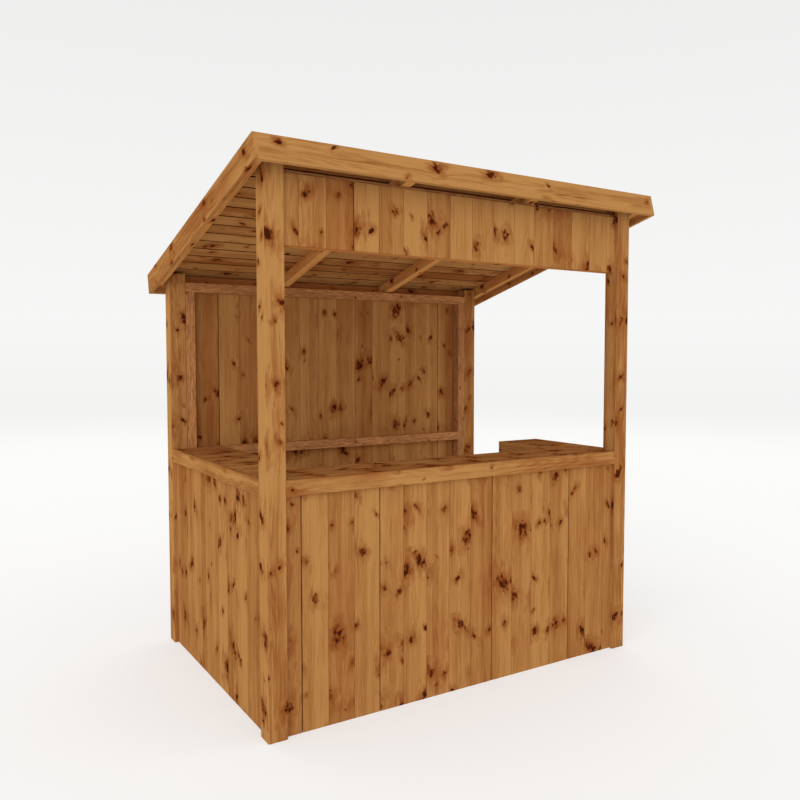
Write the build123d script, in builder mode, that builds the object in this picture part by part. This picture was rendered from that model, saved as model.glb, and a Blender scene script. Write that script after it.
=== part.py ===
from build123d import *

import math
import os

# Garden bar: an open timber pent-roof bar with low walls on three sides, a counter round the
# inside of them, a full-height back wall, and an entrance at the rear of the right side.
# Millimetres. +Z is up, the front is towards -Y, and the origin is on the ground at the
# centre of the whole object's box.

# Plan and main heights
BAR_WIDTH = 2115.0
BAR_DEPTH = 1464.0
COUNTER_HEIGHT = 1100.0
ROOF_FRONT_HEIGHT = 2482.0
ROOF_REAR_HEIGHT = 2077.0

# Timber sections
POST_SIDE = 88.0
POST_ARRIS = 3.0
BATTEN_FACE = 52.0
BOARD_THICKNESS = 12.0
BOARD_RECESS = 22.0
BATTEN_DEEP = POST_SIDE - BOARD_RECESS - BOARD_THICKNESS

# Counter
COUNTER_DEPTH = 300.0
COUNTER_BOARD = 22.0
COUNTER_FASCIA_HEIGHT = 70.0
COUNTER_FASCIA_THICKNESS = BOARD_RECESS
RIGHT_COUNTER_END = 735.0

# Header panel between the front posts
HEADER_BOTTOM = 2072.0
HEADER_BOARD_TOP = 2366.0
HEADER_RAIL_TOP = 2379.0

# Back wall
BACK_RAIL_TOP = 2031.0
BACK_BOARD_TOP = 2020.0

# Roof
ROOF_OVERHANG = 76.0
ROOF_BOARD = 18.0
ROOF_FASCIA_THICKNESS = 19.0
ROOF_FASCIA_HEIGHT = 110.0
RAFTER_WIDTH = 49.0
RAFTER_HEIGHT = 56.0
BEAM_THICKNESS = 36.0
EDGE_RAFTER_GAP = 10.0
FASCIA_ARRIS = 2.0

# Lines worked out from the sizes above
ROOF_RUN = BAR_DEPTH + 2 * ROOF_OVERHANG
ROOF_ANGLE = math.atan2(ROOF_FRONT_HEIGHT - ROOF_REAR_HEIGHT, ROOF_RUN)
ROOF_LENGTH = ROOF_RUN / math.cos(ROOF_ANGLE)
FASCIA_LEAN = ROOF_FASCIA_HEIGHT * math.sin(ROOF_ANGLE)

LEFT = -BAR_WIDTH / 2
RIGHT = BAR_WIDTH / 2
FRONT = -(ROOF_RUN + FASCIA_LEAN) / 2 + ROOF_OVERHANG + FASCIA_LEAN
REAR = FRONT + BAR_DEPTH
ENTRANCE = FRONT + RIGHT_COUNTER_END
COUNTER_UNDERSIDE = COUNTER_HEIGHT - COUNTER_BOARD
COUNTER_FASCIA_BOTTOM = COUNTER_HEIGHT - COUNTER_FASCIA_HEIGHT

ROOF_EDGE_Y = FRONT - ROOF_OVERHANG
RAFTER_BOTTOM = ROOF_BOARD + RAFTER_HEIGHT
ROOF_INNER_HALF = BAR_WIDTH / 2 + EDGE_RAFTER_GAP + RAFTER_WIDTH


def roof_point(along, below):
    """A (y, z) point of the roof: so far down the slope from its front edge, and so far
    square below its top face."""
    y = ROOF_EDGE_Y + along * math.cos(ROOF_ANGLE) - below * math.sin(ROOF_ANGLE)
    z = ROOF_FRONT_HEIGHT - along * math.sin(ROOF_ANGLE) - below * math.cos(ROOF_ANGLE)
    return (y, z)


def roof_height(y, below):
    """The height of the roof plane that lies so far square below its top face, at y."""
    drop = (y - ROOF_EDGE_Y) * math.tan(ROOF_ANGLE)
    return ROOF_FRONT_HEIGHT - below / math.cos(ROOF_ANGLE) - drop


def straight_timber(label, x_range, y_range, z_range, arris=0.0):
    """A planed timber that fills the given ranges, with its long edges eased."""
    x_size = x_range[1] - x_range[0]
    y_size = y_range[1] - y_range[0]
    z_size = z_range[1] - z_range[0]
    with BuildPart() as timber:
        with BuildSketch(Plane.XY.offset(z_range[0])):
            with Locations((sum(x_range) / 2, sum(y_range) / 2)):
                Rectangle(x_size, y_size)
        extrude(amount=z_size)
        if arris:
            longest = max((x_size, Axis.X), (y_size, Axis.Y), (z_size, Axis.Z), key=lambda s: s[0])
            chamfer(timber.edges().filter_by(longest[1]), length=arris)
    timber.part.label = label
    return timber.part


def roof_timber(label, outline, x_range):
    """A roof piece: its (y, z) outline carried sideways from one x to the other."""
    with BuildPart() as timber:
        with BuildSketch(Plane.YZ.offset(x_range[0])):
            with BuildLine():
                Polyline(*outline, close=True)
            make_face()
        extrude(amount=x_range[1] - x_range[0])
    timber.part.label = label
    return timber.part


def sloped_outline(along_from, along_to, below_from, below_to):
    """The outline of a piece that lies square to the slope of the roof."""
    return [
        roof_point(along_from, below_from),
        roof_point(along_to, below_from),
        roof_point(along_to, below_to),
        roof_point(along_from, below_to),
    ]


# Four corner posts, cut square under the roof boards
post_sides = {
    "left": (LEFT, LEFT + POST_SIDE),
    "right": (RIGHT - POST_SIDE, RIGHT),
}
post_rows = {
    "front": (FRONT, FRONT + POST_SIDE),
    "rear": (REAR - POST_SIDE, REAR),
}
posts = []
for row, y_range in post_rows.items():
    post_top = roof_height(y_range[1], ROOF_BOARD)
    for side, x_range in post_sides.items():
        posts.append(
            straight_timber(f"{row}_{side}_post", x_range, y_range, (0, post_top), POST_ARRIS)
        )

# Boarded panels, set back from the outer faces of the posts
between_x = (LEFT + POST_SIDE, RIGHT - POST_SIDE)
between_y = (FRONT + POST_SIDE, REAR - POST_SIDE)
front_board_y = (FRONT + BOARD_RECESS, FRONT + BOARD_RECESS + BOARD_THICKNESS)
rear_board_y = (REAR - BOARD_RECESS - BOARD_THICKNESS, REAR - BOARD_RECESS)
left_board_x = (LEFT + BOARD_RECESS, LEFT + BOARD_RECESS + BOARD_THICKNESS)
right_board_x = (RIGHT - BOARD_RECESS - BOARD_THICKNESS, RIGHT - BOARD_RECESS)
low_wall_z = (0, COUNTER_UNDERSIDE)
right_wall_y = (between_y[0], ENTRANCE - BOARD_RECESS)

panels = [
    straight_timber("front_wall_boards", between_x, front_board_y, low_wall_z),
    straight_timber("left_wall_boards", left_board_x, between_y, low_wall_z),
    straight_timber("right_wall_boards", right_board_x, right_wall_y, low_wall_z),
    straight_timber("back_wall_boards", between_x, rear_board_y, (0, BACK_BOARD_TOP)),
    straight_timber("header_boards", between_x, front_board_y, (HEADER_BOTTOM, HEADER_BOARD_TOP)),
]

# Framing battens behind the boards, flush with the inner faces of the posts
front_batten_y = (front_board_y[1], FRONT + POST_SIDE)
rear_batten_y = (REAR - POST_SIDE, rear_board_y[0])
left_batten_x = (left_board_x[1], LEFT + POST_SIDE)
right_batten_x = (RIGHT - POST_SIDE, right_board_x[0])
low_rails_z = {
    "bottom": (0, BATTEN_FACE),
    "top": (COUNTER_UNDERSIDE - BATTEN_FACE, COUNTER_UNDERSIDE),
}
low_studs_z = (BATTEN_FACE, COUNTER_UNDERSIDE - BATTEN_FACE)
left_stud_x = (between_x[0], between_x[0] + BATTEN_FACE)
right_stud_x = (between_x[1] - BATTEN_FACE, between_x[1])

battens = []
for place, z_range in low_rails_z.items():
    battens += [
        straight_timber(f"front_wall_{place}_rail", between_x, front_batten_y, z_range),
        straight_timber(f"left_wall_{place}_rail", left_batten_x, between_y, z_range),
        straight_timber(f"right_wall_{place}_rail", right_batten_x, right_wall_y, z_range),
    ]
entrance_stud_y = (right_wall_y[1] - BATTEN_FACE, right_wall_y[1])
battens.append(straight_timber("entrance_stud", right_batten_x, entrance_stud_y, low_studs_z))

back_rails_z = {
    "bottom": (0, BATTEN_FACE),
    "middle": (COUNTER_HEIGHT - BATTEN_FACE, COUNTER_HEIGHT),
    "top": (BACK_RAIL_TOP - BATTEN_FACE, BACK_RAIL_TOP),
}
back_rail_x = (left_stud_x[1], right_stud_x[0])
for place, z_range in back_rails_z.items():
    rail_x = between_x if place == "top" else back_rail_x
    battens.append(straight_timber(f"back_wall_{place}_rail", rail_x, rear_batten_y, z_range))
back_stud_z = (0, BACK_RAIL_TOP - BATTEN_FACE)
battens += [
    straight_timber("back_wall_left_stud", left_stud_x, rear_batten_y, back_stud_z),
    straight_timber("back_wall_right_stud", right_stud_x, rear_batten_y, back_stud_z),
]

header_rails_z = {
    "bottom": (HEADER_BOTTOM, HEADER_BOTTOM + BATTEN_FACE),
    "top": (HEADER_RAIL_TOP - BATTEN_FACE, HEADER_RAIL_TOP),
}
for place, z_range in header_rails_z.items():
    battens.append(straight_timber(f"header_{place}_rail", between_x, front_batten_y, z_range))

# Counter: boards between an outer fascia, flush with the posts, and an inner one
outer_x = (LEFT + COUNTER_FASCIA_THICKNESS, RIGHT - COUNTER_FASCIA_THICKNESS)
inner_edge = COUNTER_DEPTH - COUNTER_FASCIA_THICKNESS
left_inner_x = LEFT + inner_edge
right_inner_x = RIGHT - inner_edge
front_inner_y = FRONT + inner_edge
counter_top_z = (COUNTER_UNDERSIDE, COUNTER_HEIGHT)
counter_fascia_z = (COUNTER_FASCIA_BOTTOM, COUNTER_HEIGHT)

with BuildPart() as front_counter_top:
    with BuildSketch(Plane.XY.offset(COUNTER_UNDERSIDE)):
        with BuildLine():
            Polyline(
                (outer_x[0], between_y[0]),
                (between_x[0], between_y[0]),
                (between_x[0], FRONT + COUNTER_FASCIA_THICKNESS),
                (between_x[1], FRONT + COUNTER_FASCIA_THICKNESS),
                (between_x[1], between_y[0]),
                (outer_x[1], between_y[0]),
                (outer_x[1], front_inner_y),
                (outer_x[0], front_inner_y),
                close=True,
            )
        make_face()
    extrude(amount=COUNTER_BOARD)
front_counter_top.part.label = "front_counter_top"

counter = [
    front_counter_top.part,
    straight_timber(
        "left_counter_top", (outer_x[0], left_inner_x), (front_inner_y, between_y[1]), counter_top_z
    ),
    straight_timber(
        "right_counter_top",
        (right_inner_x, outer_x[1]),
        (front_inner_y, ENTRANCE - COUNTER_FASCIA_THICKNESS),
        counter_top_z,
    ),
    straight_timber(
        "front_counter_fascia",
        between_x,
        (FRONT, FRONT + COUNTER_FASCIA_THICKNESS),
        counter_fascia_z,
        FASCIA_ARRIS,
    ),
    straight_timber(
        "left_counter_fascia", (LEFT, outer_x[0]), between_y, counter_fascia_z, FASCIA_ARRIS
    ),
    straight_timber(
        "right_counter_fascia",
        (outer_x[1], RIGHT),
        (between_y[0], ENTRANCE),
        counter_fascia_z,
        FASCIA_ARRIS,
    ),
    straight_timber(
        "front_counter_inner_fascia",
        (left_inner_x, right_inner_x),
        (front_inner_y, FRONT + COUNTER_DEPTH),
        counter_fascia_z,
    ),
    straight_timber(
        "left_counter_inner_fascia",
        (left_inner_x, LEFT + COUNTER_DEPTH),
        (FRONT + COUNTER_DEPTH, between_y[1]),
        counter_fascia_z,
    ),
    straight_timber(
        "right_counter_inner_fascia",
        (RIGHT - COUNTER_DEPTH, right_inner_x),
        (FRONT + COUNTER_DEPTH, ENTRANCE),
        counter_fascia_z,
    ),
    straight_timber(
        "right_counter_end_fascia",
        (right_inner_x, outer_x[1]),
        (ENTRANCE - COUNTER_FASCIA_THICKNESS, ENTRANCE),
        counter_fascia_z,
    ),
]

# Roof: boards on four rafters and two cross beams, edged by fascias and bargeboards
fascia_along = (0, ROOF_FASCIA_THICKNESS)
rear_fascia_along = (ROOF_LENGTH - ROOF_FASCIA_THICKNESS, ROOF_LENGTH)
beam_along = (fascia_along[1], fascia_along[1] + BEAM_THICKNESS)
rear_beam_along = (rear_fascia_along[0] - BEAM_THICKNESS, rear_fascia_along[0])
roof_x = (-ROOF_INNER_HALF, ROOF_INNER_HALF)

roof = [
    roof_timber(
        "roof_boards",
        sloped_outline(fascia_along[1], rear_fascia_along[0], 0, ROOF_BOARD),
        roof_x,
    ),
    roof_timber(
        "front_roof_fascia", sloped_outline(*fascia_along, 0, ROOF_FASCIA_HEIGHT), roof_x
    ),
    roof_timber(
        "rear_roof_fascia", sloped_outline(*rear_fascia_along, 0, ROOF_FASCIA_HEIGHT), roof_x
    ),
    roof_timber(
        "front_roof_beam", sloped_outline(*beam_along, ROOF_BOARD, RAFTER_BOTTOM), roof_x
    ),
    roof_timber(
        "rear_roof_beam", sloped_outline(*rear_beam_along, ROOF_BOARD, RAFTER_BOTTOM), roof_x
    ),
]

bargeboard_outline = sloped_outline(0, ROOF_LENGTH, 0, ROOF_FASCIA_HEIGHT)
for side, x_start in (("left", roof_x[0] - ROOF_FASCIA_THICKNESS), ("right", roof_x[1])):
    x_range = (x_start, x_start + ROOF_FASCIA_THICKNESS)
    roof.append(roof_timber(f"{side}_bargeboard", bargeboard_outline, x_range))

# The two middle rafters have birdsmouth notches where they sit on the header and back rails
edge_rafter_outline = sloped_outline(
    beam_along[1], rear_beam_along[0], ROOF_BOARD, RAFTER_BOTTOM
)
front_seat_y = ROOF_EDGE_Y + (
    ROOF_FRONT_HEIGHT - RAFTER_BOTTOM / math.cos(ROOF_ANGLE) - HEADER_RAIL_TOP
) / math.tan(ROOF_ANGLE)
rear_seat_y = ROOF_EDGE_Y + (
    ROOF_FRONT_HEIGHT - RAFTER_BOTTOM / math.cos(ROOF_ANGLE) - BACK_RAIL_TOP
) / math.tan(ROOF_ANGLE)
notched_rafter_outline = [
    roof_point(beam_along[1], ROOF_BOARD),
    roof_point(rear_beam_along[0], ROOF_BOARD),
    roof_point(rear_beam_along[0], RAFTER_BOTTOM),
    (rear_batten_y[1], roof_height(rear_batten_y[1], RAFTER_BOTTOM)),
    (rear_batten_y[1], BACK_RAIL_TOP),
    (rear_seat_y, BACK_RAIL_TOP),
    (front_batten_y[1], roof_height(front_batten_y[1], RAFTER_BOTTOM)),
    (front_batten_y[1], HEADER_RAIL_TOP),
    (front_seat_y, HEADER_RAIL_TOP),
    roof_point(beam_along[1], RAFTER_BOTTOM),
]
rafter_spacing = (2 * ROOF_INNER_HALF - RAFTER_WIDTH) / 3
rafter_names = ("left_edge_rafter", "left_rafter", "right_rafter", "right_edge_rafter")
for index, label in enumerate(rafter_names):
    x_start = roof_x[0] + index * rafter_spacing
    x_range = (x_start, x_start + RAFTER_WIDTH)
    outline = edge_rafter_outline if "edge" in label else notched_rafter_outline
    roof.append(roof_timber(label, outline, x_range))

os.makedirs("parts", exist_ok=True)
for piece in posts + panels + battens + counter + roof:
    export_step(piece, f"parts/{piece.label}.step")
print(f"{len(posts + panels + battens + counter + roof)} pieces, front at y {FRONT:.1f}")
print(f"roof slope {math.degrees(ROOF_ANGLE):.2f} degrees")
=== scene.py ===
import math

import bmesh
import bpy
from mathutils import Matrix, Vector


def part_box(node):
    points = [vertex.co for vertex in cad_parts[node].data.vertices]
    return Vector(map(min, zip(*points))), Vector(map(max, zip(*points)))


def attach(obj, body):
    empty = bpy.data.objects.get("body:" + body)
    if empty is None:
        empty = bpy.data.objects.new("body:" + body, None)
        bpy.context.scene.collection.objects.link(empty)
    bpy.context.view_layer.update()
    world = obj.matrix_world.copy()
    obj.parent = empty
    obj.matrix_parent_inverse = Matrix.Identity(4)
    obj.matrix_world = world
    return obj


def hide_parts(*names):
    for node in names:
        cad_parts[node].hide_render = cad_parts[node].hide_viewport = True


bl_info = {
    "name": "Garden Bar",
    "version": (1, 0, 0),
    "blender": (4, 5, 0),
    "location": "3D View > Sidebar > Garden Bar",
    "description": "Boards, counter tops, roof deck and stained timber finishes for a garden bar",
    "category": "Object",
}

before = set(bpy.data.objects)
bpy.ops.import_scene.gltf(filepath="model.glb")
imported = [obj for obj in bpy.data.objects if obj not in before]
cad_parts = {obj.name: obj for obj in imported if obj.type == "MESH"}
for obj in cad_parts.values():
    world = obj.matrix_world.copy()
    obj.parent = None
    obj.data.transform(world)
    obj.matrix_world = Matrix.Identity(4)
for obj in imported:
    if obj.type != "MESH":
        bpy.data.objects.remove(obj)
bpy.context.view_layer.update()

ACROSS_X = Vector((1, 0, 0))
ACROSS_Y = Vector((0, 1, 0))
UP = Vector((0, 0, 1))

# Roof: its fall over its whole run, the slope that this gives, and the two thicknesses
# that place the roof boards
ROOF_FALL = 0.405
ROOF_RUN = 1.616
ROOF_ANGLE = math.atan2(ROOF_FALL, ROOF_RUN)
ROOF_BOARD = 0.018
ROOF_FASCIA = 0.019

# Left and front faces of the corner posts, from which the board joints are counted
POST_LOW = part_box("front_left_post")[0]

# How far a length may be off and still count as the same
TOLERANCE = 1e-6


# Sizes and colours


def length(name, description, default):
    """A length that a user may change."""
    return bpy.props.FloatProperty(
        name=name, description=description, default=default, min=0.0, max=1.0, unit="LENGTH"
    )


def colour(name, description, default):
    """A colour that a user may change."""
    return bpy.props.FloatVectorProperty(
        name=name, description=description, default=default, min=0.0, max=1.0, size=3,
        subtype="COLOR",
    )


class GardenBarSizes(bpy.types.PropertyGroup):
    """Sizes of the boards and their joints"""

    board_pitch: length(
        "Wall board pitch", "Distance from one upright board's joint to the next", 0.1288
    )
    first_joint: length(
        "First joint", "Distance from the post's outer face to the first board joint", 0.033
    )
    joint_gap: length("Joint gap", "Width of a closed joint between two boards", 0.0005)
    wide_gap: length("Open joint gap", "Width of a joint that has opened up", 0.005)
    board_arris: length("Board arris", "Chamfer on the long edges of a wall board", 0.0006)
    deck_pitch: length(
        "Roof board pitch", "Distance between roof board joints, down the slope", 0.1055
    )
    deck_first_joint: length(
        "First roof joint", "Distance from the roof's front edge to its first joint", 0.0065
    )
    deck_gap: length("Roof joint gap", "Width of the joint between two roof boards", 0.009)
    deck_groove: length(
        "Roof board chamfer", "Chamfer on the long edges of a roof board", 0.002
    )
    counter_pitch: length(
        "Counter board pitch", "Distance between the joints of the counter boards", 0.128
    )


class GardenBarColours(bpy.types.PropertyGroup):
    """Stain, knot and studio colours"""

    pale: colour("Pale stain", "Lightest colour of the stained boards", (0.46, 0.224, 0.070))
    deep: colour("Deep stain", "Reddest colour of the stained boards", (0.29, 0.097, 0.025))
    knot_halo: colour(
        "Knot halo", "Wood that resin has stained round a knot", (0.24, 0.063, 0.013)
    )
    knot_ring: colour("Knot ring", "Resin at the edge of a knot", (0.19, 0.046, 0.009))
    knot_core: colour("Knot core", "Colour of the knot itself", (0.045, 0.008, 0.003))
    batten: colour("Sawn batten", "The rough-sawn battens inside", (0.52, 0.225, 0.084))
    floor: colour("Studio floor", "The floor under the bar", (0.95, 0.95, 0.945))


# Shader building


class Shader:
    """Adds nodes to one node tree and joins them up."""

    def __init__(self, tree):
        self.tree = tree

    def add(self, kind, **settings):
        """A new node of the given kind, with its settings."""
        node = self.tree.nodes.new(kind)
        for name, value in settings.items():
            setattr(node, name, value)
        return node

    def feed(self, socket, value):
        """Links a socket to an output, or sets it to a value."""
        if isinstance(value, bpy.types.NodeSocket):
            self.tree.links.new(value, socket)
        elif value is not None:
            socket.default_value = value

    def maths(self, operation, first, second=None, third=None, clamp=False):
        node = self.add("ShaderNodeMath", operation=operation, use_clamp=clamp)
        for socket, value in zip(node.inputs, (first, second, third)):
            self.feed(socket, value)
        return node.outputs[0]

    def vector(self, operation, first, second=None, scale=None):
        node = self.add("ShaderNodeVectorMath", operation=operation)
        self.feed(node.inputs[0], first)
        self.feed(node.inputs[1], second)
        if scale is not None:
            self.feed(node.inputs["Scale"], scale)
        return node.outputs["Value" if operation in ("LENGTH", "DOT_PRODUCT") else "Vector"]

    def split(self, vector):
        node = self.add("ShaderNodeSeparateXYZ")
        self.feed(node.inputs[0], vector)
        return node.outputs

    def build(self, x=0.0, y=0.0, z=0.0):
        node = self.add("ShaderNodeCombineXYZ")
        for socket, value in zip(node.inputs, (x, y, z)):
            self.feed(socket, value)
        return node.outputs[0]

    def mix(self, factor, first, second):
        node = self.add("ShaderNodeMix", data_type="FLOAT")
        for socket, value in zip(node.inputs[:1] + node.inputs[2:4], (factor, first, second)):
            self.feed(socket, value)
        return node.outputs[0]

    def blend(self, factor, first, second, kind="MIX"):
        node = self.add("ShaderNodeMix", data_type="RGBA", blend_type=kind)
        self.feed(node.inputs[0], factor)
        self.feed(node.inputs[6], first)
        self.feed(node.inputs[7], second)
        return node.outputs[2]

    def fit(self, value, low, high, to_low=0.0, to_high=1.0, smooth=False):
        """The value moved from the range low to high into the range to_low to to_high."""
        node = self.add(
            "ShaderNodeMapRange", interpolation_type="SMOOTHSTEP" if smooth else "LINEAR"
        )
        for socket, item in zip(node.inputs[:5], (value, low, high, to_low, to_high)):
            self.feed(socket, item)
        return node.outputs[0]

    def noise(self, place, scale, detail=2.0, roughness=0.5, colour=False):
        node = self.add("ShaderNodeTexNoise", noise_dimensions="3D")
        for name, value in (
            ("Vector", place), ("Scale", scale), ("Detail", detail), ("Roughness", roughness)
        ):
            self.feed(node.inputs[name], value)
        return node.outputs["Color" if colour else "Fac"]

    def streaks(self, place, across, along, detail=2.0, roughness=0.5):
        """Noise drawn out along the grain: its scales across and along it, a metre."""
        drawn_out = self.vector("MULTIPLY", place, (across, across, along))
        return self.noise(drawn_out, 1.0, detail, roughness)

    def random(self, value):
        """A random value and colour for each whole number."""
        node = self.add("ShaderNodeTexWhiteNoise", noise_dimensions="1D")
        self.feed(node.inputs["W"], value)
        return node.outputs

    def group(self, tree, **values):
        """A node group, with its inputs named in lower case and with underscores."""
        node = self.add("ShaderNodeGroup", node_tree=tree)
        for name, value in values.items():
            self.feed(node.inputs[name.replace("_", " ").capitalize()], value)
        return node.outputs


def new_group(name, inputs, outputs):
    """A node group with named sockets: (name, kind, default) for each input."""
    tree = bpy.data.node_groups.new(name, "ShaderNodeTree")
    for label, kind, default in inputs:
        socket = tree.interface.new_socket(label, in_out="INPUT", socket_type=f"NodeSocket{kind}")
        if default is not None:
            socket.default_value = default
    for label, kind in outputs:
        tree.interface.new_socket(label, in_out="OUTPUT", socket_type=f"NodeSocket{kind}")
    shader = Shader(tree)
    return tree, shader, shader.add("NodeGroupInput").outputs, shader.add("NodeGroupOutput").inputs


# Width of the painted shade that a joint casts on the boards beside it
SEAM_EDGE = 0.0016

# How far the grain is moved on a board's edge, and at most from board to board, and how much
# slower it changes through the thickness than across the face
EDGE_SHIFT = 5.37
BOARD_SHIFT = (0.0, 3.1, 7.7)
THROUGH = 0.35

# Where the random numbers of the half boards start, and how far apart two rows of knots take
# theirs
HALF_BOARDS_START = 41.7
KNOT_ROWS_APART = 17.31


def board_layout_group():
    """Numbers the boards across the surface, gives each its own tone and its own grain, and masks
    the painted shade in their joints.
    """
    tree, s, given, result = new_group(
        "Board layout",
        [
            ("Place", "Vector", None),
            ("Face", "Vector", None),
            ("Board width", "Float", 10.0),
            ("First joint", "Float", 0.0),
            ("Seam width", "Float", 0.0005),
            ("Seed", "Float", 0.0),
        ],
        [("Place", "Vector"), ("Tone", "Float"), ("Strip tone", "Float"), ("Seam", "Float")],
    )
    u, v, w = s.split(given["Place"])
    across, through, _ = s.split(s.vector("ABSOLUTE", given["Face"]))
    on_edge = s.maths("GREATER_THAN", across, through)
    count = s.maths("DIVIDE", s.maths("SUBTRACT", u, given["First joint"]), given["Board width"])
    number = s.maths("ADD", s.maths("FLOOR", count), given["Seed"])
    strip = s.maths("ADD", s.maths("FLOOR", s.maths("MULTIPLY", count, 2.0)), given["Seed"])
    own = s.random(number)
    # A board's edge shows other grain than its face
    side = s.mix(on_edge, u, s.maths("ADD", v, EDGE_SHIFT))
    flat = s.build(side, s.maths("MULTIPLY", v, THROUGH), w)
    shift = s.vector("MULTIPLY", own["Color"], BOARD_SHIFT)
    s.feed(result["Place"], s.vector("ADD", flat, shift))
    s.feed(result["Tone"], own["Value"])
    strip_tone = s.random(s.maths("ADD", strip, HALF_BOARDS_START))["Value"]
    s.feed(result["Strip tone"], strip_tone)
    # How near the surface is to the joint that each board starts with, over the joint's width: the
    # mask of the painted shade in the joint
    past = s.maths("MULTIPLY", s.maths("FRACT", count), given["Board width"])
    ahead = s.maths("SUBTRACT", given["Board width"], past)
    outside = s.maths("MAXIMUM", s.maths("SUBTRACT", past, given["Seam width"]), 0.0)
    s.feed(result["Seam"], s.fit(s.maths("MINIMUM", outside, ahead), 0.0, SEAM_EDGE, 1.0, 0.0))
    return tree


# Edges of the knots: noise scale, detail and roughness, and how far it moves them
KNOT_EDGE = (38.0, 2.0, 0.55)
KNOT_RAGGED = 0.02

# Places of the knots: how far each row and each knot may stand off the even spacing, how
# uneven a row is, how much a knot may lean, and its width as a share of its length
KNOT_ROW_DRIFT = 0.4
KNOT_STAGGER = 0.05
KNOT_SCATTER = 0.8
KNOT_LEAN = 1.2
KNOT_SQUASH = 0.74

# Radii of the knots: the smallest and the range above it, as shares of the radius asked for, how
# rare the large ones are, and the radius in metres that hides a knot
KNOT_SMALLEST = 0.34
KNOT_RANGE = 0.75
KNOT_RARENESS = 1.8
KNOT_HIDDEN = 0.0002


def knot_group():
    """Knots in rows across a board, as branches grow round a trunk: how far each point is from
    its nearest knot, in knot radii."""
    tree, s, given, result = new_group(
        "Knots",
        [
            ("Place", "Vector", None),
            ("Spacing across", "Float", 0.07),
            ("Spacing along", "Float", 0.27),
            ("Radius", "Float", 0.016),
            ("Share", "Float", 0.6),
            ("Seed", "Float", 0.0),
        ],
        [("Reach", "Float"), ("Sideways", "Float")],
    )
    ragged = s.noise(given["Place"], *KNOT_EDGE, colour=True)
    ragged = s.vector("SUBTRACT", ragged, (0.5, 0.5, 0.5))
    place = s.vector("ADD", given["Place"], s.vector("SCALE", ragged, scale=KNOT_RAGGED))
    u, _, w = s.split(place)
    along = s.maths("ADD", w, given["Seed"])
    row = s.maths("FLOOR", s.maths("DIVIDE", along, given["Spacing along"]))
    drift = s.maths("MULTIPLY", s.random(row)["Value"], KNOT_ROW_DRIFT)
    high = s.maths("ADD", s.maths("ADD", row, (1 - KNOT_ROW_DRIFT) / 2), drift)
    level = s.maths("MULTIPLY", high, given["Spacing along"])
    # Each row takes its knots from another stretch of the same random line
    offset = s.maths("MULTIPLY", row, KNOT_ROWS_APART)

    def knot(feature):
        """One knot of the row: its reach, and how far the point is to its side."""
        cells = s.add("ShaderNodeTexVoronoi", voronoi_dimensions="1D", feature=feature)
        count = s.maths("DIVIDE", u, given["Spacing across"])
        s.feed(cells.inputs["W"], s.maths("ADD", count, offset))
        s.feed(cells.inputs["Scale"], 1.0)
        s.feed(cells.inputs["Randomness"], KNOT_SCATTER)
        chance, size, tilt = s.split(cells.outputs["Color"])
        middle = s.maths("SUBTRACT", cells.outputs["W"], offset)
        du = s.maths("SUBTRACT", u, s.maths("MULTIPLY", middle, given["Spacing across"]))
        tilt = s.maths("SUBTRACT", tilt, 0.5)
        own_level = s.maths("ADD", level, s.maths("MULTIPLY", tilt, KNOT_STAGGER))
        dw = s.maths("SUBTRACT", along, own_level)
        across = s.maths("ADD", du, s.maths("MULTIPLY", dw, s.maths("MULTIPLY", tilt, KNOT_LEAN)))
        distance = s.vector("LENGTH", s.build(across, s.maths("MULTIPLY", dw, KNOT_SQUASH), 0.0))
        present = s.maths("LESS_THAN", chance, given["Share"])
        # Most knots are small, and a few are more than three times as large
        grown = s.maths("MULTIPLY", s.maths("POWER", size, KNOT_RARENESS), KNOT_RANGE)
        grown = s.maths("ADD", grown, KNOT_SMALLEST)
        radius = s.maths("MULTIPLY", s.maths("MULTIPLY", given["Radius"], grown), present)
        radius = s.maths("MAXIMUM", radius, KNOT_HIDDEN)
        return s.maths("DIVIDE", distance, radius), s.maths("DIVIDE", du, radius)

    # The two nearest knots are both looked at, so that no halo is cut off half way to the next
    reach, sideways = knot("F1")
    next_reach, next_sideways = knot("F2")
    is_next = s.maths("LESS_THAN", next_reach, reach)
    s.feed(result["Reach"], s.maths("MINIMUM", reach, next_reach))
    s.feed(result["Sideways"], s.mix(is_next, sideways, next_sideways))
    return tree


# Large knots: metres between their rows. Small knots: metres between their rows and in a row,
# radius, number and strength as shares of the large ones', and how far apart the two seeds are
LARGE_KNOT_ROWS = 0.27
SMALL_KNOT_ROWS = 0.21
SMALL_KNOT_SPACING = 0.05
SMALL_KNOT_RADIUS = 0.36
SMALL_KNOT_SHARE = 0.35
SMALL_KNOT_STRENGTH = 0.8
SMALL_KNOT_SEED = 3.3

# How far a knot bends the grain, in metres, and how fast this fades with the square of the
# distance in knot radii
GRAIN_BEND = -0.011
GRAIN_BEND_FADE = -0.16

# How the grain wanders: its scales across and along the timber, and how far it goes, in metres
WANDER = (5.0, 1.3)
GRAIN_WANDER = 0.035

# Layers of grain that bend round the knots, and of stain that don't: scales across and along
# the timber, detail, roughness, and weight in how deep the stain is
GRAIN = {
    "band": (21.0, 0.55, 2.0, 0.5, 1.7),
    "streak": (105.0, 1.9, 3.0, 0.6, 1.15),
    "fibre": (520.0, 11.0, 2.0, 0.6, 0.45),
}
STAIN = {
    "blotch": (9.0, 3.0, 3.0, 0.6, 1.1),
    "drift": (2.6, 1.1, 1.0, 0.5, 0.9),
}

# Growth rings: their slow noise, how many lines it is cut into, and their weight
RINGS = (13.0, 0.75, 1.0, 0.4)
RING_COUNT = 135.0
RING_WEIGHT = 0.22

# Depth of the stain on a timber whose layers all stand at their middle
MIDDLE_DEPTH = 0.4

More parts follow.
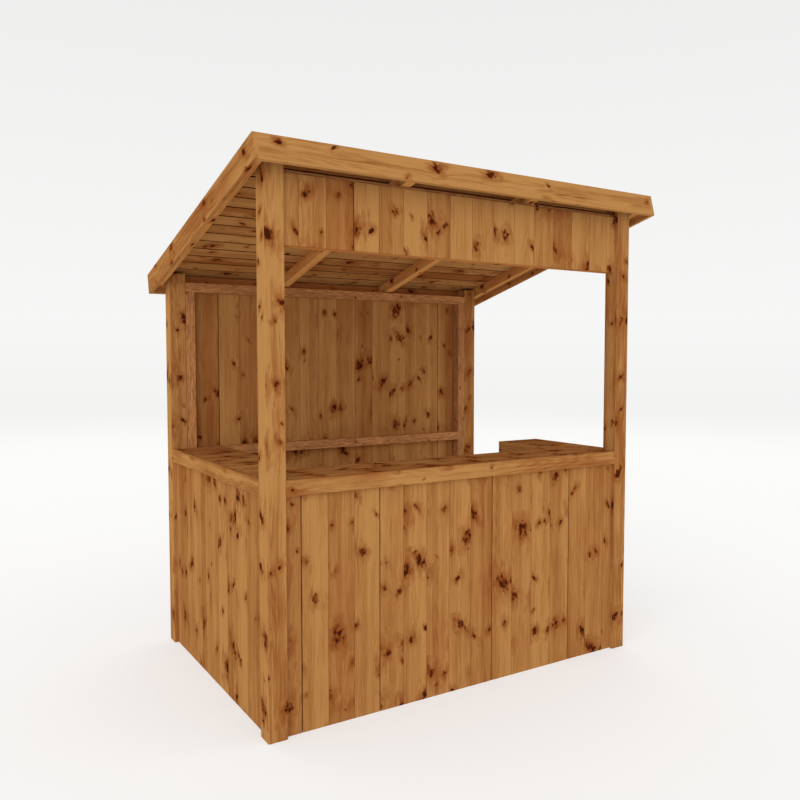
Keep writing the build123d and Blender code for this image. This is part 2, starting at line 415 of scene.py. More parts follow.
# Fine lines: the two noises of the saw marks, and for planed and for sawn timber the noise's
# low and high level, with the brightness at each
SAW_MARKS = ((330.0, 18.0, 3.0, 0.75), (170.0, 24.0, 2.0, 0.6))
PLANED_LINES = (0.35, 0.7, 1.05, 0.9)
SAWN_LINES = (0.38, 0.62, 1.32, 0.56)

# Halo round a knot: its noise, how much a knot adds to it, and the levels between which it
# grows, with its strength at each
SMOKE = (44.0, 20.0)
KNOT_SMOKE = 0.17
HALO = (0.18, 0.72, 0.0, 0.92)

# Dark blots in a knot: their noise and its weight, how near its middle the knot stops getting
# darker, how much it adds, and the levels and strengths of its ring and of its core
BLOTS = (58.0, 46.0, 1.0)
BLOT_WEIGHT = 1.25
KNOT_MIDDLE = 0.5
KNOT_DARK = 0.52
RING = (0.52, 0.84, 0.0, 0.95)
CORE = (0.77, 1.0, 0.0, 0.94)

# How much painted shade darkens a tongue that shows in an opened joint
OPEN_JOINT_SHADE = 0.9

# Roughness of pale and of deep stain and of sawn timber, and how much less a knot has
PLANED_ROUGH = (0.64, 0.74)
SAWN_ROUGH = 0.9
KNOT_SHINE = 0.12

# Relief: the weights of the streaks, the fibres, the saw marks and the knots
RELIEF_WEIGHTS = (0.35, 0.3, 1.2, 0.5)


def stained_pine_group(layout, knots):
    """Stained softwood: bands and streaks of grain that bend round dark resinous knots."""
    tree, s, given, result = new_group(
        "Stained pine",
        [
            ("Place", "Vector", None),
            ("Face", "Vector", None),
            ("Board width", "Float", 10.0),
            ("First joint", "Float", 0.0),
            ("Seam width", "Float", 0.0005),
            ("Seam depth", "Float", 0.0),
            ("Open joint", "Float", 0.0),
            ("Contrast", "Float", 1.0),
            ("Seed", "Float", 0.0),
            ("Knot share", "Float", 0.6),
            ("Knot radius", "Float", 0.018),
            ("Knot spacing", "Float", 0.075),
            ("Tone range", "Float", 0.5),
            ("Redness", "Float", 0.0),
            ("Sawn", "Float", 0.0),
            ("Pale", "Color", None),
            ("Deep", "Color", None),
            ("Knot halo", "Color", None),
            ("Knot ring", "Color", None),
            ("Knot core", "Color", None),
        ],
        [("Colour", "Color"), ("Roughness", "Float"), ("Height", "Float")],
    )
    laid = s.group(
        layout,
        place=given["Place"],
        face=given["Face"],
        board_width=given["Board width"],
        first_joint=given["First joint"],
        seam_width=given["Seam width"],
        seed=given["Seed"],
    )
    place = laid["Place"]
    large = s.group(
        knots,
        place=place,
        spacing_across=given["Knot spacing"],
        spacing_along=LARGE_KNOT_ROWS,
        radius=given["Knot radius"],
        share=given["Knot share"],
        seed=given["Seed"],
    )
    small = s.group(
        knots,
        place=place,
        spacing_across=SMALL_KNOT_SPACING,
        spacing_along=SMALL_KNOT_ROWS,
        radius=s.maths("MULTIPLY", given["Knot radius"], SMALL_KNOT_RADIUS),
        share=s.maths("MULTIPLY", given["Knot share"], SMALL_KNOT_SHARE),
        seed=s.maths("ADD", given["Seed"], SMALL_KNOT_SEED),
    )

    # Grain runs along the third axis, and is pushed aside where a large knot stands in its way
    away = s.maths("POWER", large["Reach"], 2.0)
    push = s.maths("EXPONENT", s.maths("MULTIPLY", away, GRAIN_BEND_FADE))
    bend = s.maths("MULTIPLY", s.maths("MULTIPLY", large["Sideways"], push), GRAIN_BEND)
    wander = s.maths("SUBTRACT", s.streaks(place, *WANDER), 0.5)
    wander = s.maths("MULTIPLY", wander, GRAIN_WANDER)
    aside = s.vector("ADD", place, s.build(s.maths("ADD", bend, wander), 0.0, 0.0))

    field = s.streaks(aside, *RINGS)
    rings = s.maths("MULTIPLY", s.maths("SINE", s.maths("MULTIPLY", field, RING_COUNT)), 0.5)
    grain = s.maths("MULTIPLY", rings, RING_WEIGHT)
    layers = {}
    for where, group in ((aside, GRAIN), (place, STAIN)):
        for name, (*noise, weight) in group.items():
            layers[name] = s.streaks(where, *noise)
            part = s.maths("MULTIPLY", s.maths("SUBTRACT", layers[name], 0.5), weight)
            grain = s.maths("ADD", grain, part)

    # Each board has its own tone, and each half of a board a smaller one
    depth = s.maths("MULTIPLY", s.maths("SUBTRACT", laid["Tone"], 0.5), given["Tone range"])
    half_range = s.maths("MULTIPLY", given["Tone range"], 0.5)
    half_tone = s.maths("MULTIPLY", s.maths("SUBTRACT", laid["Strip tone"], 0.5), half_range)
    depth = s.maths("ADD", depth, half_tone)
    depth = s.maths("ADD", depth, s.maths("MULTIPLY", grain, given["Contrast"]))
    depth = s.maths("ADD", s.maths("ADD", depth, MIDDLE_DEPTH), given["Redness"], clamp=True)
    wood = s.blend(depth, given["Pale"], given["Deep"])

    # Fine lines: fibres on planed timber, and wavy saw marks on sawn timber
    planed = s.fit(layers["fibre"], *PLANED_LINES)
    saw_marks = s.mix(0.5, *(s.streaks(aside, *noise) for noise in SAW_MARKS))
    lines = s.mix(given["Sawn"], planed, s.fit(saw_marks, *SAWN_LINES))
    wood = s.blend(1.0, wood, s.build(lines, lines, lines), "MULTIPLY")

    # Resin stains the wood round a knot, and the knot itself breaks up into dark blots
    nearness = s.maths("SUBTRACT", 1.0, large["Reach"])
    small_nearness = s.maths("SUBTRACT", 1.0, small["Reach"])
    small_nearness = s.maths("MULTIPLY", small_nearness, SMALL_KNOT_STRENGTH)
    nearness = s.maths("MAXIMUM", nearness, small_nearness)
    smoke = s.streaks(place, *SMOKE)
    halo = s.fit(s.maths("ADD", smoke, s.maths("MULTIPLY", nearness, KNOT_SMOKE)), *HALO)
    wood = s.blend(halo, wood, given["Knot halo"])
    blots = s.maths("MULTIPLY", s.streaks(place, *BLOTS), BLOT_WEIGHT)
    inside = s.maths("MULTIPLY", s.maths("MINIMUM", nearness, KNOT_MIDDLE), KNOT_DARK)
    dark = s.maths("ADD", blots, inside)
    wood = s.blend(s.fit(dark, *RING, smooth=True), wood, given["Knot ring"])
    core = s.fit(dark, *CORE, smooth=True)
    wood = s.blend(core, wood, given["Knot core"])

    # Painted shade darkens the joints, and the tongues that show in opened joints
    joint_shade = s.maths("MULTIPLY", laid["Seam"], given["Seam depth"])
    joint_shade = s.maths("MAXIMUM", joint_shade, s.maths("MULTIPLY", given["Open joint"], OPEN_JOINT_SHADE))
    s.feed(result["Colour"], s.blend(joint_shade, wood, given["Knot core"]))

    # Deep stain is duller, a sawn face is dull all over, and a knot's resin shines a little
    rough = s.mix(given["Sawn"], s.fit(depth, 0.0, 1.0, *PLANED_ROUGH), SAWN_ROUGH)
    rough = s.maths("SUBTRACT", rough, s.maths("MULTIPLY", core, KNOT_SHINE))
    s.feed(result["Roughness"], rough)
    raised = s.maths("MULTIPLY", saw_marks, given["Sawn"])
    height = 0.0
    for part, weight in zip((layers["streak"], layers["fibre"], raised, core), RELIEF_WEIGHTS):
        height = s.maths("ADD", height, s.maths("MULTIPLY", part, weight))
    s.feed(result["Height"], height)
    return tree


# How the grain space is turned: the grain runs along its third axis, and the boards lie side
# by side along its first
TURN_UPRIGHT = (0.0, 0.0, 0.0)
TURN_UPRIGHT_SIDE = (0.0, 0.0, -math.pi / 2)
TURN_ALONG_X = (0.0, -math.pi / 2, 0.0)
TURN_ALONG_Y = (math.pi / 2, 0.0, 0.0)
TURN_DOWN_SLOPE = (math.pi / 2 + ROOF_ANGLE, 0.0, 0.0)
TURN_DECK = (ROOF_ANGLE - math.pi / 2, -math.pi / 2, 0.0)
TURN_COUNTER = (-math.pi / 2, -math.pi / 2, 0.0)

# How deep the relief of the grain is, in metres
RELIEF = 0.0012

# The attribute that marks the tongues in opened joints, which get painted shade
OPEN_JOINT = "open_joint"

made_groups = {}


def pine_group():
    """The stained pine group, made once."""
    if "pine" not in made_groups:
        made_groups["pine"] = stained_pine_group(board_layout_group(), knot_group())
    return made_groups["pine"]


def pine_material(name, turn, board_width=10.0, first_joint=0.0, bump=0.35, **values):
    """A stained pine finish whose grain is turned to suit the timber it is on."""
    if name in bpy.data.materials:
        return bpy.data.materials[name]
    colours = bpy.context.scene.garden_bar_colours
    material = bpy.data.materials.new(name)
    material.use_nodes = True
    material.node_tree.nodes.clear()
    s = Shader(material.node_tree)
    place = s.add("ShaderNodeMapping", vector_type="POINT")
    place.inputs["Rotation"].default_value = turn
    s.feed(place.inputs["Vector"], s.add("ShaderNodeTexCoord").outputs["Object"])
    face = s.add("ShaderNodeMapping", vector_type="VECTOR")
    face.inputs["Rotation"].default_value = turn
    s.feed(face.inputs["Vector"], s.add("ShaderNodeNewGeometry").outputs["True Normal"])
    settings = {
        "pale": (*colours.pale, 1.0),
        "deep": (*colours.deep, 1.0),
        "knot_halo": (*colours.knot_halo, 1.0),
        "knot_ring": (*colours.knot_ring, 1.0),
        "knot_core": (*colours.knot_core, 1.0),
    }
    settings.update(values)
    marks = s.add("ShaderNodeAttribute", attribute_name=OPEN_JOINT)
    pine = s.group(
        pine_group(),
        open_joint=marks.outputs["Fac"],
        place=place.outputs[0],
        face=face.outputs[0],
        board_width=board_width,
        first_joint=first_joint,
        **settings,
    )
    relief = s.add("ShaderNodeBump")
    relief.inputs["Strength"].default_value = bump
    relief.inputs["Distance"].default_value = RELIEF
    s.feed(relief.inputs["Height"], pine["Height"])
    surface = s.add("ShaderNodeBsdfPrincipled")
    surface.inputs["Specular IOR Level"].default_value = 0.0
    s.feed(surface.inputs["Base Color"], pine["Colour"])
    s.feed(surface.inputs["Roughness"], pine["Roughness"])
    s.feed(surface.inputs["Normal"], relief.outputs[0])
    output = s.add("ShaderNodeOutputMaterial")
    s.feed(output.inputs["Surface"], surface.outputs[0])
    return material


# Modelling helpers

# A board's tongue, as shares of the board's thickness: how thick it is, and how far off the
# middle it lies in a joint that has opened and between two roof boards
TONGUE = 0.25
DEEP_TONGUE = -0.3

# How nearly two directions have to agree to count as the same
STRAIGHT = 0.99

# The shares of a joint's width between which the middle of a tongue's face lies
INSIDE_JOINT = (0.2, 0.8)


def deselect_all():
    """Leaves no object selected."""
    bpy.ops.object.select_all(action="DESELECT")


def pick(piece):
    """Selects one object alone and makes it active."""
    deselect_all()
    piece.select_set(True)
    bpy.context.view_layer.objects.active = piece


def block(name, low, high):
    """A box from its lowest to its highest corner, with its place in its mesh."""
    deselect_all()
    low, high = Vector(low), Vector(high)
    bpy.ops.mesh.primitive_cube_add(size=1.0, location=(low + high) / 2)
    piece = bpy.context.object
    piece.name = name
    piece.data.name = name
    piece.scale = high - low
    bpy.ops.object.transform_apply(location=True, rotation=True, scale=True)
    return piece


def select_in_mesh(mesh, edges=None, faces=None):
    """Selects the edges or the faces that pass a test, in edit mode."""
    shape = bmesh.from_edit_mesh(mesh)
    for part in (*shape.verts, *shape.edges, *shape.faces):
        part.select = False
    if edges:
        for edge in shape.edges:
            if edges(edge):
                edge.select_set(True)
    if faces:
        for face in shape.faces:
            if faces(face):
                face.select_set(True)
    bmesh.update_edit_mesh(mesh)


def bisect(place, normal, **options):
    """Cuts everything in the mesh being edited by one plane."""
    bpy.ops.mesh.select_all(action="SELECT")
    bpy.ops.mesh.bisect(plane_co=place, plane_no=normal, **options)


def board(name, low, high, across, along, arris, gap, grooved, tongue_at):
    """One tongued board: its long edges are chamfered on the faces that grooved names, and its
    tongue fills the joint to the board before it, at the given share of the thickness."""
    piece = block(name, low, high)
    through = across.cross(along)
    middle = (Vector(low) + Vector(high)) / 2
    thickness = abs((Vector(high) - Vector(low)).dot(through))

    bpy.ops.object.mode_set(mode="EDIT")
    bpy.ops.mesh.select_mode(type="EDGE")

    def is_long_edge(edge):
        run = (edge.verts[1].co - edge.verts[0].co).normalized()
        side = (edge.verts[0].co - middle).dot(through)
        return abs(run.dot(along)) > STRAIGHT and (side > 0) in grooved

    select_in_mesh(piece.data, edges=is_long_edge)
    bpy.ops.mesh.bevel(offset=arris, offset_type="OFFSET", segments=1, affect="EDGES")

    tongue = middle + through * thickness * tongue_at
    for side in (-1, 1):
        bisect(tongue + through * side * thickness * TONGUE / 2, through)
    bpy.ops.mesh.select_mode(type="FACE")

    def is_tongue(face):
        off = abs((face.calc_center_median() - tongue).dot(through))
        return face.normal.dot(across) < -STRAIGHT and off < thickness * TONGUE / 4

    select_in_mesh(piece.data, faces=is_tongue)
    bpy.ops.mesh.extrude_region_move(TRANSFORM_OT_translate={"value": -across * gap})
    bpy.ops.object.mode_set(mode="OBJECT")
    return piece


def copy_along(piece, offset):
    """A copy with its own mesh, moved by the given offset."""
    twin = piece.copy()
    twin.data = piece.data.copy()
    twin.data.transform(Matrix.Translation(offset))
    bpy.context.collection.objects.link(twin)
    return twin


def joined(pieces, name):
    """The pieces as one object of the given name."""
    deselect_all()
    for piece in pieces:
        piece.select_set(True)
    bpy.context.view_layer.objects.active = pieces[0]
    if len(pieces) > 1:
        bpy.ops.object.join()
    result = bpy.context.object
    result.name = name
    result.data.name = name
    return result


def trim(piece, cuts):
    """Cuts the piece off square at each plane, given by a point and its outward normal."""
    pick(piece)
    bpy.ops.object.mode_set(mode="EDIT")
    for place, normal in cuts:
        bisect(place, normal, use_fill=True, clear_outer=True)
    bpy.ops.object.mode_set(mode="OBJECT")


def boarded_panel(
    name, low, high, across, along, first, pitch, arris, gap, wide, grooved, tongue_at=0.0
):
    """A panel of tongued boards laid side by side from the first joint, and trimmed to its ends.
    wide maps the number of a joint to its own gap, whose tongue lies deep in the joint."""
    low, high = Vector(low), Vector(high)
    start, end = low.dot(across), high.dot(across)
    plain = low - across * start
    top = high - across * end
    kinds = {}
    pieces = []
    number = math.floor((start - first) / pitch + TOLERANCE)
    cuts = []
    if first + number * pitch < start - TOLERANCE:
        cuts.append((low, -across))
    while first + number * pitch < end - TOLERANCE:
        own_gap = wide.get(number, gap)
        if own_gap not in kinds:
            kinds[own_gap] = board(
                f"{name}_board",
                plain + across * own_gap,
                top + across * pitch,
                across, along, arris, own_gap, grooved,
                tongue_at if own_gap == gap else DEEP_TONGUE,
            )
        pieces.append(copy_along(kinds[own_gap], across * (first + number * pitch)))
        number += 1
    if first + number * pitch > end + TOLERANCE:
        cuts.append((high, across))
    for pattern in kinds.values():
        bpy.data.objects.remove(pattern)
    panel = joined(pieces, name)
    trim(panel, cuts)
    return panel


def mark_open_joints(panel, across, first, pitch, gap, joints):
    """Marks the tongues that show in the joints that have opened up, where painted shade darkens
    them.
    """
    marks = panel.data.attributes.new(OPEN_JOINT, "FLOAT", "FACE")
    least, most = INSIDE_JOINT
    for face in panel.data.polygons:
        number, place = divmod(face.center.dot(across) - first, pitch)
        marks.data[face.index].value = float(number in joints and least < place / gap < most)


def settle(piece, material, node):
    """Gives a finished piece its material, hangs it on the root body and hides the CAD node that
    it stands for.
    """
    piece.data.materials.clear()
    piece.data.materials.append(material)
    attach(piece, "root")
    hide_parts(node)


# Wall boards

# Joints that have opened up, by their number from the front left post
OPEN_JOINTS = {
    "front_wall_boards": (1, 4, 9, 13),
    "header_boards": (3,),
    "back_wall_boards": (2, 14),
    "left_wall_boards": (),
    "right_wall_boards": (),
}

# Finish of the wall boards, and what differs on the back wall and the header. The seam depth is
# the strength of the painted shade in their joints
WALL_FINISH = {
    "contrast": 0.85, "knot_share": 0.46, "knot_radius": 0.034, "tone_range": 0.6,
    "seam_depth": 0.35,
}
OWN_WALL_FINISH = {
    "back_wall_boards": {"redness": 0.04, "knot_share": 0.4, "knot_radius": 0.029},
    "header_boards": {"redness": -0.16},
}


class GARDENBAR_OT_wall_boards(bpy.types.Operator):
    """Lay the upright tongued boards of the low walls, the back wall and the header"""

    bl_idname = "garden_bar.wall_boards"
    bl_label = "Wall Boards"

    def execute(self, context):
        sizes = context.scene.garden_bar_sizes
        for node, open_joints in OPEN_JOINTS.items():
            low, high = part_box(node)
            across = ACROSS_Y if node.startswith(("left", "right")) else ACROSS_X
            first = POST_LOW[0 if across is ACROSS_X else 1] + sizes.first_joint
            panel = boarded_panel(
                node.replace("boards", "boarding"),
                low, high, across, UP, first,
                sizes.board_pitch, sizes.board_arris, sizes.joint_gap,
                {number: sizes.wide_gap for number in open_joints},
                (True, False),
            )
            mark_open_joints(
                panel, across, first, sizes.board_pitch, sizes.wide_gap, open_joints
            )
            turn = TURN_UPRIGHT if across is ACROSS_X else TURN_UPRIGHT_SIDE
            finish = pine_material(
                f"{node.replace('_', ' ')} stain",
                turn,
                board_width=sizes.board_pitch,
                first_joint=first,
                seam_width=sizes.joint_gap,
                seed=float(len(node)),
                **{**WALL_FINISH, **OWN_WALL_FINISH.get(node, {})},
            )
            settle(panel, finish, node)
        return {"FINISHED"}


# Roof deck

# Finish of the roof boards, which show their underside. Their redness deepens the stain as painted
# shade under the roof, and the seam depth paints shade in their open joints
DECK_FINISH_AND_SHADE = {
    "seed": 31.0, "knot_share": 0.6, "knot_radius": 0.024, "tone_range": 0.6, "redness": 0.06,
    "seam_depth": 1.0,
}


class GARDENBAR_OT_roof_deck(bpy.types.Operator):
    """Lay the roof boards across the rafters, with open joints between them"""

    bl_idname = "garden_bar.roof_deck"
    bl_label = "Roof Deck"

    def execute(self, context):
        sizes = context.scene.garden_bar_sizes
        low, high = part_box("roof_boards")
        # The deck is laid level from the roof's front edge, then tipped down to the slope
        cos, sin = math.cos(ROOF_ANGLE), math.sin(ROOF_ANGLE)
        top_edge_y = low.y + ROOF_BOARD * sin
        slope_length = (high.y - top_edge_y) / cos
        deck = boarded_panel(
            "roof_boarding",
            (low.x, ROOF_FASCIA, -ROOF_BOARD),
            (high.x, ROOF_FASCIA + slope_length, 0.0),
            ACROSS_Y, ACROSS_X,
            sizes.deck_first_joint,
            sizes.deck_pitch, sizes.deck_groove, sizes.deck_gap,
            {}, (True,), DEEP_TONGUE,
        )
        roof_edge = Vector((0.0, top_edge_y - ROOF_FASCIA * cos, high.z + ROOF_FASCIA * sin))
        deck.data.transform(
            Matrix.Translation(roof_edge) @ Matrix.Rotation(-ROOF_ANGLE, 4, "X")
        )
        # The roof's front edge, measured down the slope in the same way as the grain space
        edge_place = roof_edge.y * cos - roof_edge.z * sin
        finish = pine_material(
            "roof board stain and shade",
            TURN_DECK,
            board_width=sizes.deck_pitch,
            first_joint=edge_place + sizes.deck_first_joint,
            seam_width=sizes.deck_gap,
            **DECK_FINISH_AND_SHADE,
        )
        settle(deck, finish, "roof_boards")
        return {"FINISHED"}


# Counter tops

# Finish of the counter boards, with painted shade in their joints, and how much redder than the
# walls each length is, which paints the shade that the roof casts on it
COUNTER_FINISH = {
    "knot_share": 0.75, "knot_radius": 0.03, "knot_spacing": 0.055, "tone_range": 0.5,
    "seam_depth": 0.5,
}
COUNTER_REDNESS_AND_SHADE = {"front_counter_top": 0.22, "left_counter_top": 0.1, "right_counter_top": 0.42}

# Where the random numbers of the counter boards start
COUNTER_SEED = 50.0


class GARDENBAR_OT_counter_tops(bpy.types.Operator):
    """Lay the counter boards, cut round the front posts"""

    bl_idname = "garden_bar.counter_tops"
    bl_label = "Counter Tops"

    def execute(self, context):
        sizes = context.scene.garden_bar_sizes
        front_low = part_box("front_counter_top")[0]
        for node, redness in COUNTER_REDNESS_AND_SHADE.items():
            name = node.replace("top", "boarding")
            strips = [
                boarded_panel(
                    f"{name}_{place}",
                    *ends, ACROSS_Y, ACROSS_X, front_low.y,
                    sizes.counter_pitch, sizes.board_arris, sizes.joint_gap,
                    {}, (True, False),
                )
                for place, ends in enumerate(counter_strips(node))
            ]
            top = joined(strips, name)
            finish = pine_material(
                f"{node.replace('_', ' ')} stain",
                TURN_COUNTER,
                board_width=sizes.counter_pitch,
                first_joint=front_low.y,
                seam_width=sizes.joint_gap,
                seed=COUNTER_SEED + len(node),
                redness=redness,
                **COUNTER_FINISH,
            )
            settle(top, finish, node)
        return {"FINISHED"}


def counter_strips(node):
    """The lowest and highest corners of each strip of a counter top. The front one is laid in
    two, one between the posts and one behind them."""
    low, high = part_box(node)
    if node != "front_counter_top":
        return [(low, high)]
    left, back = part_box("front_left_post")[1].xy
    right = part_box("front_right_post")[0].x
    return [
        (Vector((left, low.y, low.z)), Vector((right, back, high.z))),
        (Vector((low.x, back, low.z)), high),
    ]


# Timber finishes

# Timbers that are paler and more orange than the boards: the paleness is painted light that stands
# in for light from below on their undersides
RAFTER_STAIN_WITH_PAINTED_LIGHT = {"pale": (0.68, 0.33, 0.1, 1.0), "deep": (0.5, 0.185, 0.05, 1.0)}
HEADER_RAIL_STAIN_WITH_PAINTED_LIGHT = {"pale": (0.62, 0.26, 0.075, 1.0), "deep": (0.44, 0.14, 0.034, 1.0)}
REAR_BEAM_STAIN_WITH_PAINTED_LIGHT = {"pale": (0.66, 0.29, 0.09, 1.0), "deep": (0.48, 0.16, 0.042, 1.0)}


def timber(turn, *nodes, **settings):
    """How a finish's grain is turned, the CAD nodes that have it, and its settings."""
    return turn, nodes, settings


# The finish of each planed timber
TIMBERS = {
    "post stain": timber(
        TURN_UPRIGHT, "front_left_post", "rear_left_post",
        seed=2.0, knot_share=0.55, knot_radius=0.029, knot_spacing=0.07, contrast=1.45,
    ),
    "deeper post stain": timber(
        TURN_UPRIGHT, "front_right_post", "rear_right_post",
        seed=2.6, knot_share=0.55, knot_radius=0.026, knot_spacing=0.065, contrast=1.45,
        redness=0.07,
    ),
    "front fascia stain": timber(
        TURN_ALONG_X, "front_roof_fascia", "rear_roof_fascia",
        seed=5.0, knot_share=0.28, knot_radius=0.022, contrast=1.8, redness=-0.18,
    ),
    "counter fascia stain": timber(
        TURN_ALONG_X,
        "front_counter_fascia", "front_counter_inner_fascia", "right_counter_end_fascia",
        seed=6.0, knot_share=0.55, knot_radius=0.017, contrast=1.4, redness=0.17,
    ),
    "side fascia stain": timber(
        TURN_ALONG_Y, "left_counter_fascia", "right_counter_fascia",
        "left_counter_inner_fascia", "right_counter_inner_fascia",
        seed=7.0, knot_share=0.6, knot_radius=0.016, contrast=1.4, redness=-0.1,
    ),
    "bargeboard stain": timber(
        TURN_DOWN_SLOPE, "left_bargeboard", "right_bargeboard",
        seed=9.0, knot_share=0.6, knot_radius=0.018, contrast=1.3,
    ),
    # The rafters' lower redness adds to their painted light from below
    "rafter stain with painted light": timber(
        TURN_DOWN_SLOPE, "left_edge_rafter", "left_rafter", "right_rafter", "right_edge_rafter",
        seed=11.0, knot_share=0.4, knot_radius=0.014, contrast=1.3, redness=-0.1,
        **RAFTER_STAIN_WITH_PAINTED_LIGHT,
    ),
    "header rail stain with painted light": timber(
        TURN_ALONG_X, "header_bottom_rail",
        seed=12.0, knot_share=0.3, knot_radius=0.014, **HEADER_RAIL_STAIN_WITH_PAINTED_LIGHT,
    ),
    "beam stain": timber(
        TURN_ALONG_X, "front_roof_beam",
        seed=13.0, knot_share=0.4, knot_radius=0.015, redness=0.1,
    ),
    "rear beam stain with painted light": timber(
        TURN_ALONG_X, "rear_roof_beam",
        seed=14.0, knot_share=0.4, knot_radius=0.015, **REAR_BEAM_STAIN_WITH_PAINTED_LIGHT,
    ),
}

# The rough-sawn timbers by the run of their grain, and the finish that they share
SAWN = {
    "sawn rail": timber(
        TURN_ALONG_X, "front_wall_bottom_rail", "front_wall_top_rail", "back_wall_bottom_rail",
        "back_wall_middle_rail", "back_wall_top_rail", "header_top_rail",
    ),
    "sawn side rail": timber(
        TURN_ALONG_Y, "left_wall_bottom_rail", "left_wall_top_rail",
        "right_wall_bottom_rail", "right_wall_top_rail",
    ),
    "sawn stud": timber(
        TURN_UPRIGHT, "entrance_stud", "back_wall_left_stud", "back_wall_right_stud"
    ),
}
SAWN_FINISH = {"bump": 0.7, "seed": 17.0, "sawn": 1.0, "knot_share": 0.3, "knot_radius": 0.01}

# The deep stain of a sawn timber, as a share of its pale one
SAWN_SHADE = 0.7


def dress(nodes, material):
    """Gives CAD nodes their material."""
    for node in nodes:
        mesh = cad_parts[node].data
        mesh.materials.clear()
        mesh.materials.append(material)


class GARDENBAR_OT_timber_finishes(bpy.types.Operator):
    """Stain the posts, fascias, rafters and battens"""

    bl_idname = "garden_bar.timber_finishes"
    bl_label = "Timber Finishes"

    def execute(self, context):
        for name, (turn, nodes, settings) in TIMBERS.items():
            dress(nodes, pine_material(name, turn, **settings))
        batten = context.scene.garden_bar_colours.batten
        stain = {"pale": (*batten, 1.0), "deep": (*(SAWN_SHADE * part for part in batten), 1.0)}
        for name, (turn, nodes, _) in SAWN.items():
            dress(nodes, pine_material(name, turn, **SAWN_FINISH, **stain))
        return {"FINISHED"}


# Studio

# Camera fitted to the edges that the photograph shows: place in metres, tilt and turn in
# degrees, and lens in millimetres
CAMERA_PLACE = (-2.2591, -3.6792, 1.6049)
CAMERA_TILT = 86.958
CAMERA_TURN = -31.932
CAMERA_LENS = 34.913

# Lamps: strength, colour, softness, and then azimuth from the front and height, in degrees
LAMPS = {
    "key lamp": (1.1, (1.0, 0.99, 0.97), 70.0, -48.0, 16.0),
    "fill lamp": (0.15, (1.0, 1.0, 1.0), 90.0, 38.0, 12.0),
}
LAMP_DISTANCE = 8.0
ROOM_COLOUR = (1.0, 0.995, 0.985, 1.0)
ROOM_LIGHT = 0.77

# Backdrop: it is palest just above the floor line, gets darker up to an even shade, and drops a
# little below the line. Both give two heights of the line of sight and the shade at each. A
# little less blue makes it warm
BACKDROP_ABOVE = (0.05, 0.42, 0.928, 0.855)
BACKDROP_BELOW = (-0.05, 0.05, 0.965, 1.0)
BACKDROP_BLUE = 0.993

# Floor: its size, how far under the posts it lies so that no faces coincide, its shade and
# glow, and how far away it starts and ends to fade out
FLOOR_SIZE = 60.0
FLOOR_GAP = 0.0005
FLOOR_SHADE = 0.62
FLOOR_GLOW = 0.44
FLOOR_FADE = (9.0, 21.0)


class GARDENBAR_OT_studio(bpy.types.Operator):
    """Set out the pale studio floor, the soft lamps and the camera"""

    bl_idname = "garden_bar.studio"
    bl_label = "Studio"

    def execute(self, context):
        scene = context.scene
        scene.view_settings.view_transform = "Standard"
        deselect_all()
        bpy.ops.mesh.primitive_plane_add(size=FLOOR_SIZE, location=(0, 0, -FLOOR_GAP))
        floor = context.object
        floor.name = "studio_floor"
        bpy.ops.object.transform_apply(location=True)
        floor.data.materials.append(floor_material())
        scene.world = studio_world()
        for name, settings in LAMPS.items():
            add_sun(name, *settings)

        lens = bpy.data.cameras.new("camera")
        camera = bpy.data.objects.new("camera", lens)
        scene.collection.objects.link(camera)
        lens.sensor_width = 36.0
        lens.lens = CAMERA_LENS
        lens.clip_end = 100.0
        camera.location = CAMERA_PLACE
        camera.rotation_euler = (math.radians(CAMERA_TILT), 0.0, math.radians(CAMERA_TURN))
        scene.camera = camera
        return {"FINISHED"}


def studio_world():
    """Even light from all round, with a pale backdrop that only the camera sees."""
    world = bpy.data.worlds.new("studio light")
    world.use_nodes = True
    world.node_tree.nodes.clear()
    s = Shader(world.node_tree)
    rays = s.add("ShaderNodeLightPath").outputs
    seen = s.maths("MAXIMUM", rays["Is Camera Ray"], rays["Is Glossy Ray"])
    seen = s.maths("MAXIMUM", seen, rays["Is Transmission Ray"])
    light = s.add("ShaderNodeBackground")
    light.inputs["Color"].default_value = ROOM_COLOUR
    light.inputs["Strength"].default_value = ROOM_LIGHT
    height = s.split(s.add("ShaderNodeTexCoord").outputs["Object"])[2]
    shade = s.maths("MULTIPLY", s.fit(height, *BACKDROP_ABOVE), s.fit(height, *BACKDROP_BELOW))
    wall = s.add("ShaderNodeBackground")
    blue = s.maths("MULTIPLY", shade, BACKDROP_BLUE)
    s.feed(wall.inputs["Color"], s.build(shade, shade, blue))
    chosen = s.add("ShaderNodeMixShader")
    s.feed(chosen.inputs[0], seen)
    s.feed(chosen.inputs[1], light.outputs[0])
    s.feed(chosen.inputs[2], wall.outputs[0])
    s.feed(s.add("ShaderNodeOutputWorld").inputs["Surface"], chosen.outputs[0])
    return world


def add_sun(name, strength, colour, softness, azimuth, height):
    """A soft sun lamp, aimed at the bar."""
    lamp = bpy.data.lights.new(name, "SUN")
    lamp.energy = strength
    lamp.color = colour
    lamp.angle = math.radians(softness)
    holder = bpy.data.objects.new(name, lamp)
    azimuth, height = math.radians(azimuth), math.radians(height)
    aim = Vector((
        math.sin(azimuth) * math.cos(height),
        -math.cos(azimuth) * math.cos(height),
        math.sin(height),
    ))
    holder.rotation_euler = aim.to_track_quat("Z", "Y").to_euler()
    holder.location = aim * LAMP_DISTANCE
    bpy.context.scene.collection.objects.link(holder)


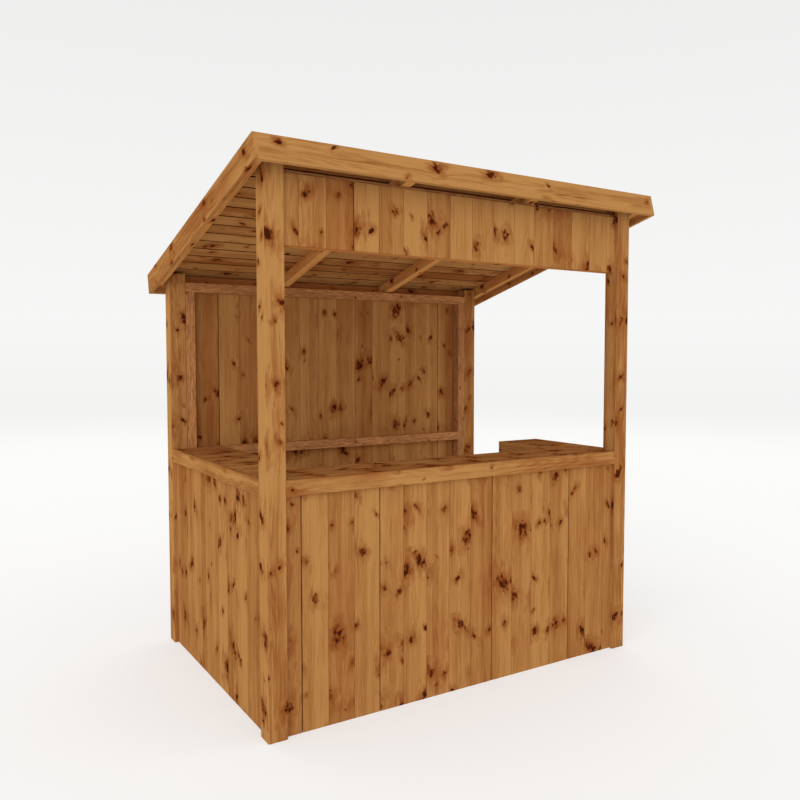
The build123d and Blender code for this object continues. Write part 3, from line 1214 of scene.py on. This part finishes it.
def floor_material():
    """A matt pale floor that keeps the object's shadow and fades out into the backdrop."""
    floor = bpy.context.scene.garden_bar_colours.floor
    material = bpy.data.materials.new("studio floor")
    material.use_nodes = True
    material.node_tree.nodes.clear()
    s = Shader(material.node_tree)
    surface = s.add("ShaderNodeBsdfPrincipled")
    for name, value in (
        ("Base Color", (*(FLOOR_SHADE * part for part in floor), 1.0)),
        ("Roughness", 0.9),
        ("Specular IOR Level", 0.1),
        ("Emission Color", (1.0, 1.0, 1.0, 1.0)),
        ("Emission Strength", FLOOR_GLOW),
    ):
        surface.inputs[name].default_value = value
    away = s.vector("LENGTH", s.add("ShaderNodeTexCoord").outputs["Object"])
    faded = s.add("ShaderNodeMixShader")
    s.feed(faded.inputs[0], s.fit(away, *FLOOR_FADE, 0.0, 1.0, smooth=True))
    s.feed(faded.inputs[1], surface.outputs[0])
    s.feed(faded.inputs[2], s.add("ShaderNodeBsdfTransparent").outputs[0])
    s.feed(s.add("ShaderNodeOutputMaterial").inputs["Surface"], faded.outputs[0])
    return material


# Add-on


class GARDENBAR_PT_sidebar(bpy.types.Panel):
    """Garden bar tools in the 3D view's sidebar"""

    bl_idname = "GARDENBAR_PT_sidebar"
    bl_label = "Garden Bar"
    bl_space_type = "VIEW_3D"
    bl_region_type = "UI"
    bl_category = "Garden Bar"

    def draw(self, context):
        for operator in OPERATORS:
            self.layout.operator(operator.bl_idname)
        for group in (context.scene.garden_bar_sizes, context.scene.garden_bar_colours):
            box = self.layout.box()
            for name in group.bl_rna.properties.keys():
                if name not in ("rna_type", "name"):
                    box.prop(group, name)


OPERATORS = (
    GARDENBAR_OT_wall_boards,
    GARDENBAR_OT_roof_deck,
    GARDENBAR_OT_counter_tops,
    GARDENBAR_OT_timber_finishes,
    GARDENBAR_OT_studio,
)
CLASSES = (GardenBarSizes, GardenBarColours, *OPERATORS, GARDENBAR_PT_sidebar)


def register():
    for cls in CLASSES:
        bpy.utils.register_class(cls)
    bpy.types.Scene.garden_bar_sizes = bpy.props.PointerProperty(type=GardenBarSizes)
    bpy.types.Scene.garden_bar_colours = bpy.props.PointerProperty(type=GardenBarColours)


def unregister():
    del bpy.types.Scene.garden_bar_colours
    del bpy.types.Scene.garden_bar_sizes
    for cls in reversed(CLASSES):
        bpy.utils.unregister_class(cls)


def main():
    """Builds the whole scene."""
    register()
    bpy.ops.garden_bar.wall_boards()
    bpy.ops.garden_bar.roof_deck()
    bpy.ops.garden_bar.counter_tops()
    bpy.ops.garden_bar.timber_finishes()
    bpy.ops.garden_bar.studio()


if __name__ == "__main__":
    main()
